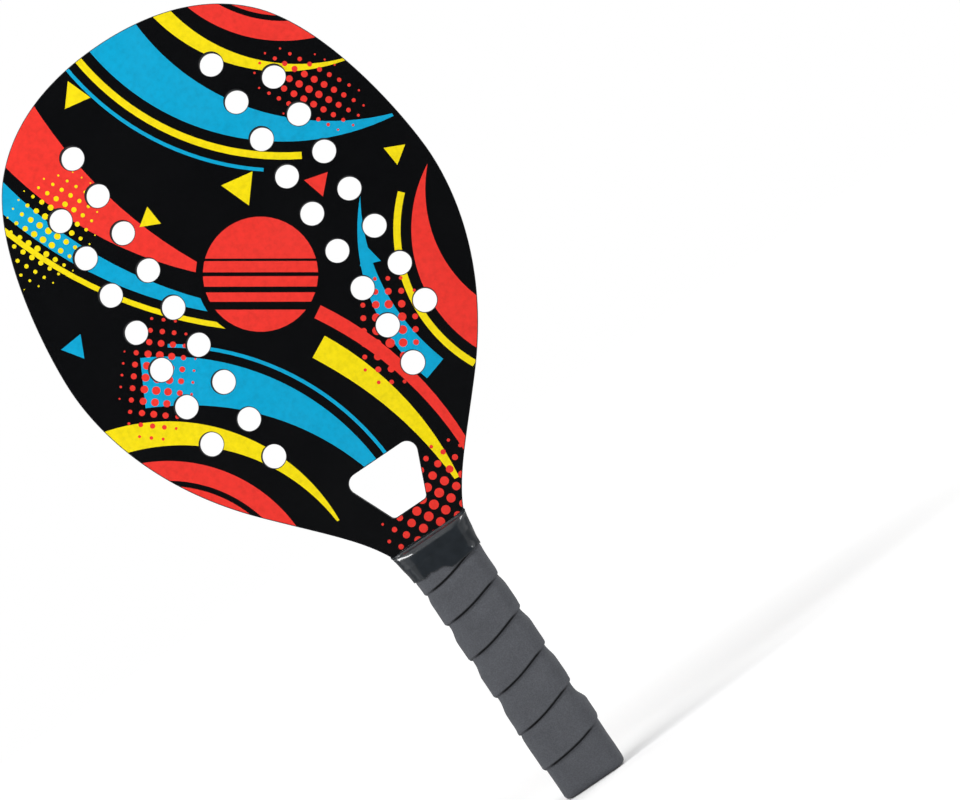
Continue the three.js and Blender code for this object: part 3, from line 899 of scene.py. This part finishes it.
def lap_shade_mask(share, turn, up, height, settings):
    """1 where painted shade darkens a lap and 0 elsewhere: deep in the lap and at the foot of the lapping
    edge.
    The painted shade fades on the rounded corners and is strongest on the flat faces.
    """
    _, _, angle = facing(share)
    on_flat = np.abs(np.sin(angle)) ** 6
    under = smooth(1.8 - (lap_height(turn + 1) - height) / LAP_SHADE_WIDTH)
    edge = smooth(1.6 - up / (LAP_SHADE_EDGE_SHARE * settings.edge_round))
    laps = turn > CLIMB_START
    return np.maximum(under * (turn + 1 > CLIMB_START), edge * laps) * on_flat


def wound_tape(material, settings):
    """One unbroken strip of foam: closed sections, down the outer face and up the inner one."""
    first = round(START_TURN * settings.stations)
    last = round((CLIMBING_TURNS + END_TURN_SHARE) * settings.stations)
    turn = np.arange(first, last + 1)[:, None] / settings.stations
    share = turn % 1
    up = tape_rows(turn, settings)
    height = lap_height(turn) + up
    lift = TAPE_SEAT_GAP + tape_lift(turn, height, settings) - butt_inset(height)
    reach = np.clip(1 - up / settings.edge_round, 0, 1)
    thickness = tape_thickness(height, settings.thickness) * np.sqrt(1 - reach ** 2)
    waver = WAVER * wave(3 * turn + height / WAVER_RISE)
    sheets = []
    for offset in (lift + thickness + waver, lift):
        half_width, half_depth = half_width_at(height) + offset, HANDLE_HALF_DEPTH + offset
        sheets.append(section_points(share, half_width, half_depth, height))
    rings = np.concatenate([sheets[0][:, ::-1], sheets[1][:, 1:]], axis=1)
    # The mask of painted shade in the laps, on the outer face only.
    painted_lap_shade = lap_shade_mask(share, turn, up, height, settings)
    painted_lap_shade = np.concatenate([painted_lap_shade[:, ::-1], painted_lap_shade[:, 1:] * 0], axis=1)
    stations, around = rings.shape[:2]
    faces = grid_faces(stations, around, True)
    rows = up.shape[1]
    for start in (0, (stations - 1) * around):
        for i in range(rows - 1):
            a, b = start + i, start + i + 1
            c, d = start + 2 * rows - 2 - i, start + 2 * rows - 3 - i
            faces.append((a, b, d, c) if len({a, b, c, d}) == 4 else (a, b, c))
    piece = make_piece("foam_tape", rings.reshape(-1, 3), faces, [material])
    return piece, painted_lap_shade.ravel()


# The neck sleeve.


def sleeve_ripple(share, across, height, settings):
    """Ripples that the film keeps from shrinking, one set round the neck and one aslant, and its dents."""
    around = wave(9 * share + 0.8 * wave(2 * share))
    aslant = wave(15 * share + height / ASLANT_RISE + ASLANT_START)
    offset = settings.ripple * (around * np.sin(height / FADING_RISE) + aslant) / 2
    front = share < 0.5
    for x, z, width, depth in DENTS:
        spread = np.hypot(across - x * MM, height - z * MM) / (width * MM)
        offset = offset - front * depth * MM * np.exp(-spread ** 2 * 2)
    return offset


def torn_foot(share, across):
    """The height of the film's foot, with small nicks."""
    nicks = NICK_DEPTH * wave(NICKS * share) * wave(5 * share)
    return np.interp(across / MM, *np.array(TORN_FOOT).T) * MM + nicks


def ridge_profile(steps):
    """Shares of the ridge's rise and of its depth, from the sleeve's front over to the blade. The pulled
    film is nearly flat on the way over, which widens the line of light along the ridge."""
    angles = np.linspace(RIDGE_START, math.pi / 2, 20 * steps + 1)
    reach = 1 + RIDGE_FLATNESS * np.exp(-((angles - RIDGE_TILT) / RIDGE_SPREAD) ** 2)
    rise, depth = np.cumsum(reach * np.cos(angles)), np.cumsum(reach * np.sin(angles))
    at_step = np.linspace(0, 1, steps + 1)[1:] * np.sum(reach)
    run = np.cumsum(reach)
    shares = np.interp(at_step, run, rise / rise[-1]), np.interp(at_step, run, depth / depth[-1])
    return list(zip(*shares))


def film_stand(height):
    """How far the film stands off the board's side at a height."""
    heights, stands = np.array(FILM_STAND_OFF).T * MM
    return np.interp(height, heights, stands)


def film_body(share, shoulder, settings, inward):
    """The film's rows from its torn foot to its shoulder, where the ripples fade and the corners widen."""
    corner_x, _, angle = facing(share)
    across = corner_x * (HANDLE_HALF_WIDTH - FILM_CORNER_INSET) + FILM_CORNER * np.cos(angle)
    foot = torn_foot(share, across)
    rows = []
    for step in np.linspace(0, 1, BODY_ROWS):
        height = foot + (shoulder - foot) * step
        ripple = sleeve_ripple(share, across, height, settings) * (1 - step ** 6)
        stand = film_stand(height) + ripple - inward
        corner = HANDLE_HALF_DEPTH - FACE_DEPTH + stand
        corner = corner + (RIDGE_CORNER - corner) * smooth(step)
        rows.append((half_width_at(height) + stand, HANDLE_HALF_DEPTH + stand, height, corner))
    return rows


def film_lip(share, lip, wall):
    """The film's rows from its wall over a fillet to the lip, which lies on the blade."""
    side = lip + LIP_OVERHANG
    rows = []
    for rise, depth_share in [*reversed(ridge_profile(FILLET_ROWS)), (0, 0)]:
        depth = FACE_DEPTH + lip + SLEEVE_FILLET * depth_share
        height = wall + SLEEVE_FILLET * (1 - rise)
        rows.append((half_width_at(height) + side, depth, height, RIDGE_CORNER * depth_share + side))
    fillet_top = rows[-1][2]
    lip_top = SLEEVE_TOP - LIP_WAVE + LIP_WAVE * wave(5 * share + 0.2)
    for step in LIP_SHARES:
        height = fillet_top + (lip_top - fillet_top) * step
        side = lip + LIP_OVERHANG * (1 - step)
        rows.append((half_width_at(height) + side, FACE_DEPTH + lip, height, side))
    return rows


def sleeve_surface(share, settings, inward):
    """The film's rows, from its torn foot up the handle, over the cheeks' rounded ends and down to the lip
    on the blade. The inner side is drawn in by the wall."""
    on_front = np.sin(facing(share)[2]) ** 2
    nose = SIDE_NOSE_RADIUS + (SLEEVE_NOSE_RADIUS - SIDE_NOSE_RADIUS) * on_front
    shoulder = CHEEK_TOP + SLEEVE_NOSE_RISE - nose
    rows = film_body(share, shoulder, settings, inward)
    lip = LIP_CLEARANCE + settings.wall - inward
    lip = lip + settings.ripple * wave(PUCKERS * share) * (1 - on_front)
    stand = film_stand(shoulder) - inward
    for rise, depth_share in ridge_profile(RIDGE_ROWS):
        height = shoulder + (nose - inward) * rise
        depth = HANDLE_HALF_DEPTH + stand - nose * depth_share
        side = stand + (lip + LIP_OVERHANG - stand) * depth_share
        rows.append((half_width_at(height) + side, depth, height, RIDGE_CORNER + 0 * share))
    rows += film_lip(share, lip, rows[-1][2])
    return np.stack([section_points(share, *row) for row in rows])


def neck_sleeve(materials, settings):
    """The film as one closed skin. Its lip, a single layer on the blade, has the second material."""
    share = np.arange(settings.columns) / settings.columns
    outer = sleeve_surface(share, settings, 0)
    inner = sleeve_surface(share, settings, settings.wall)
    rows, columns = outer.shape[:2]
    side = grid_faces(rows, columns, True)
    faces = side + [tuple(i + rows * columns for i in reversed(face)) for face in side]
    skin = len(faces)
    for row in (0, rows - 1):
        for i in range(columns):
            a, b = row * columns + i, row * columns + (i + 1) % columns
            faces.append((a, b, b + rows * columns, a + rows * columns))
    lip_start = (rows - 2 - len(LIP_SHARES)) * columns
    indices = [int(i % len(side) >= lip_start) if i < skin else 0 for i in range(len(faces))]
    points = np.concatenate([outer, inner]).reshape(-1, 3)
    return make_piece("neck_film", points, faces, materials, indices, flat_from=skin)


class RACKET_OT_stage(bpy.types.Operator):
    """Set the studio: a white floor, a white room, softboxes and the camera"""

    bl_idname = "racket.stage"
    bl_label = "Studio"

    def execute(self, context):
        settings = context.scene.racket_stage
        self.add_camera(context, settings)
        self.add_floor(settings)
        self.add_room(context, settings)
        for name, place, width, height, share, roll in LAMPS:
            self.add_lamp(name, Vector(place), (width, height), settings.key * share, roll)
        return {"FINISHED"}

    def add_camera(self, context, settings):
        """The camera looks square at the face, rolled so that the racket leans as in the photograph."""
        lean = math.radians(LEAN_DEGREES)
        right = Vector((math.cos(lean), 0, -math.sin(lean)))
        up = Vector((math.sin(lean), 0, math.cos(lean)))
        back = Vector((0, -1, 0))
        data = bpy.data.cameras.new("photo_camera")
        data.lens, data.sensor_width = settings.lens, SENSOR_WIDTH
        data.clip_start, data.clip_end = 0.05, 60
        camera = add_object("photo_camera", data)
        across = (IMAGE_WIDTH / 2 - BUTT_PIXEL[0]) / PIXELS_PER_METRE
        above = (BUTT_PIXEL[1] - IMAGE_HEIGHT / 2) / PIXELS_PER_METRE
        distance = IMAGE_WIDTH / PIXELS_PER_METRE * settings.lens / SENSOR_WIDTH
        place = right * across + up * above + back * (FACE_DEPTH + distance)
        camera.matrix_world = Matrix.Translation(place) @ Matrix((right, up, back)).transposed().to_4x4()
        context.scene.camera = camera

    def add_floor(self, settings):
        """A wide floor of matt white paint. In the camera it also has a glow of its own, which is weak near
        the racket, where the shadow lies."""
        points = [(*point, 0) for point in circle((0, 0), FLOOR_RADIUS, 64)]
        mesh = bpy.data.meshes.new("studio_floor")
        mesh.from_pydata(points, [], [tuple(range(len(points)))])
        floor = add_object("studio_floor", mesh)
        floor.location.z = CAD_LOW.z - FLOOR_DROP
        material, add, place = new_material("matt_white_floor_paint")
        path = add("ShaderNodeLightPath").outputs
        white, grey = settings.floor_colour, shaded(settings.floor_colour, FLOOR_GLOSS_SHARE)
        colour = add("ShaderNodeMix", {
            0: path["Is Glossy Ray"], 6: (*white, 1), 7: (*grey, 1)}, data_type="RGBA")
        grain = add("ShaderNodeTexNoise", {"Vector": place, "Scale": 1 / (4 * MM), "Detail": 2})
        bump = add("ShaderNodeBump", {"Height": grain, "Strength": 0.1, "Distance": 0.1 * MM})
        paint = add("ShaderNodeBsdfDiffuse", {"Color": colour.outputs[2], "Normal": bump})
        reach = add("ShaderNodeVectorMath", {0: place}, operation="LENGTH")
        white_glow = add("ShaderNodeMapRange", {
            "Value": reach.outputs["Value"], "From Min": 0, "From Max": GLOW_REACH, "To Min": NEAR_GLOW,
            "To Max": FAR_GLOW})
        seen = add("ShaderNodeMath", {0: path["Is Camera Ray"], 1: white_glow}, operation="MULTIPLY")
        glow = add("ShaderNodeEmission", {"Strength": seen})
        both = add("ShaderNodeAddShader", {0: paint, 1: glow})
        add("ShaderNodeOutputMaterial", {"Surface": both})
        mesh.materials.append(material)

    def add_room(self, context, settings):
        """A room with lit walls under a dim ceiling, which the camera sees as plain white. Gloss sees it
        dark in front and behind, as a studio is where the camera stands, so black print stays deep."""
        world = bpy.data.worlds.new("white_room")
        context.scene.world = world
        world.cycles.sampling_method = "NONE"
        add = cleared(world)
        view = add("ShaderNodeTexCoord").outputs["Generated"]
        way = add("ShaderNodeSeparateXYZ", {"Vector": view}).outputs
        path = add("ShaderNodeLightPath").outputs
        walls = add("ShaderNodeMapRange", {
            "Value": way["Z"], "From Min": WALL_TOP, "From Max": CEILING_FOOT, "To Min": settings.fill,
            "To Max": settings.fill * CEILING_SHARE})
        forward = add("ShaderNodeMath", {0: way["Y"]}, operation="ABSOLUTE")
        gloss = add("ShaderNodeMapRange", {
            "Value": forward, "From Min": LIT_TURN, "From Max": DARK_TURN, "To Min": SIDE_GLOSS,
            "To Max": FRONT_GLOSS}, interpolation_type="SMOOTHSTEP")
        lit = add("ShaderNodeMix", {0: path["Is Glossy Ray"], 2: walls, 3: gloss})
        seen = add("ShaderNodeMath", {
            0: path["Is Camera Ray"], 1: path["Is Transmission Ray"]}, operation="MAXIMUM")
        strength = add("ShaderNodeMix", {0: seen, 2: lit, 3: 1})
        room = add("ShaderNodeBackground", {"Color": (1, 1, 1, 1), "Strength": strength})
        add("ShaderNodeOutputWorld", {"Surface": room})

    def add_lamp(self, name, place, size, power, roll):
        """A soft lamp that faces the racket's middle."""
        data = bpy.data.lights.new(name, "AREA")
        data.shape, data.energy = "RECTANGLE", power
        data.size, data.size_y = size
        middle = Vector((0, 0, RACKET_LENGTH * AIM_SHARE))
        aim = (place - middle).to_track_quat("Z", "Y").to_matrix().to_4x4()
        turn = Matrix.Rotation(math.radians(roll), 4, "Z")
        add_object(name, data).matrix_world = Matrix.Translation(place) @ aim @ turn


class RACKET_OT_board(bpy.types.Operator):
    """Build the routed board with its painted edges"""

    bl_idname = "racket.board"
    bl_label = "Board"

    def execute(self, context):
        settings = context.scene.racket_board
        settle(board_body(painted_fibreboard(settings.paint), settings), "board", "board")
        return {"FINISHED"}


class RACKET_OT_prints(bpy.types.Operator):
    """Build the printed and lacquered sheets of both faces"""

    bl_idname = "racket.prints"
    bl_label = "Printed sheets"

    def execute(self, context):
        settings = context.scene.racket_board
        inks = [
            lacquered_ink(f"lacquered_{name}_ink", getattr(settings, name))
            for name in ("black", "red", "blue", "yellow")]
        settle(print_sheet("front_print_sheet", -1, inks, settings), "print", "front_print")
        settle(print_sheet("back_print_sheet", 1, inks, settings), "print", "back_print")
        return {"FINISHED"}


class RACKET_OT_cheeks(bpy.types.Operator):
    """Give the cheeks their wood"""

    bl_idname = "racket.cheeks"
    bl_label = "Cheeks"

    def execute(self, context):
        settings = context.scene.racket_handle
        wood = sanded_poplar(settings.wood, settings.late_wood)
        for name in ("front_cheek", "back_cheek"):
            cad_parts[name].material_slots[0].material = wood
        return {"FINISHED"}


class RACKET_OT_tape(bpy.types.Operator):
    """Wind the foam tape round the handle"""

    bl_idname = "racket.tape"
    bl_label = "Foam tape"

    def execute(self, context):
        settings = context.scene.racket_handle
        foam = closed_cell_foam(settings.foam, settings.painted_lap_shade, settings.cell)
        piece, painted_lap_shade = wound_tape(foam, settings)
        # The tape carries its mask of painted lap shade as a point attribute.
        depth = piece.data.attributes.new("painted_lap_shade", "FLOAT", "POINT")
        if len(piece.data.vertices) != len(painted_lap_shade):
            raise RuntimeError("the tape's points were joined, so its crease can't be placed")
        depth.data.foreach_set("value", painted_lap_shade)
        settle(piece, "foam", "grip_tape")
        return {"FINISHED"}


class RACKET_OT_sleeve(bpy.types.Operator):
    """Shrink the sleeve over the neck"""

    bl_idname = "racket.sleeve"
    bl_label = "Neck sleeve"

    def execute(self, context):
        settings = context.scene.racket_sleeve
        films = [
            shrunk_film("shrunk_film", settings.film, 1),
            shrunk_film("single_layer_film", settings.film, 0.72)]
        settle(neck_sleeve(films, settings), "sleeve", "neck_sleeve")
        return {"FINISHED"}


OPERATORS = (
    RACKET_OT_stage,
    RACKET_OT_board,
    RACKET_OT_prints,
    RACKET_OT_cheeks,
    RACKET_OT_tape,
    RACKET_OT_sleeve,
)
SETTINGS = {
    "racket_stage": RacketStageSettings,
    "racket_board": RacketBoardSettings,
    "racket_handle": RacketHandleSettings,
    "racket_sleeve": RacketSleeveSettings,
}


class RACKET_PT_panel(bpy.types.Panel):
    """The racket's pieces and their settings"""

    bl_label = "Beach Tennis Racket"
    bl_idname = "RACKET_PT_panel"
    bl_space_type = "VIEW_3D"
    bl_region_type = "UI"
    bl_category = "Racket"

    def draw(self, context):
        for operator in OPERATORS:
            self.layout.operator(operator.bl_idname)
        for name, group in SETTINGS.items():
            box = self.layout.box()
            for setting in group.__annotations__:
                box.prop(getattr(context.scene, name), setting)


CLASSES = (*SETTINGS.values(), *OPERATORS, RACKET_PT_panel)


def register():
    for each in CLASSES:
        bpy.utils.register_class(each)
    for name, group in SETTINGS.items():
        setattr(bpy.types.Scene, name, PointerProperty(type=group))


def unregister():
    for name in SETTINGS:
        delattr(bpy.types.Scene, name)
    for each in reversed(CLASSES):
        bpy.utils.unregister_class(each)


def main():
    register()
    bpy.context.scene.view_settings.view_transform = "Standard"
    bpy.ops.racket.stage()
    bpy.ops.racket.board()
    bpy.ops.racket.prints()
    bpy.ops.racket.cheeks()
    bpy.ops.racket.tape()
    bpy.ops.racket.sleeve()


if __name__ == "__main__":
    main()
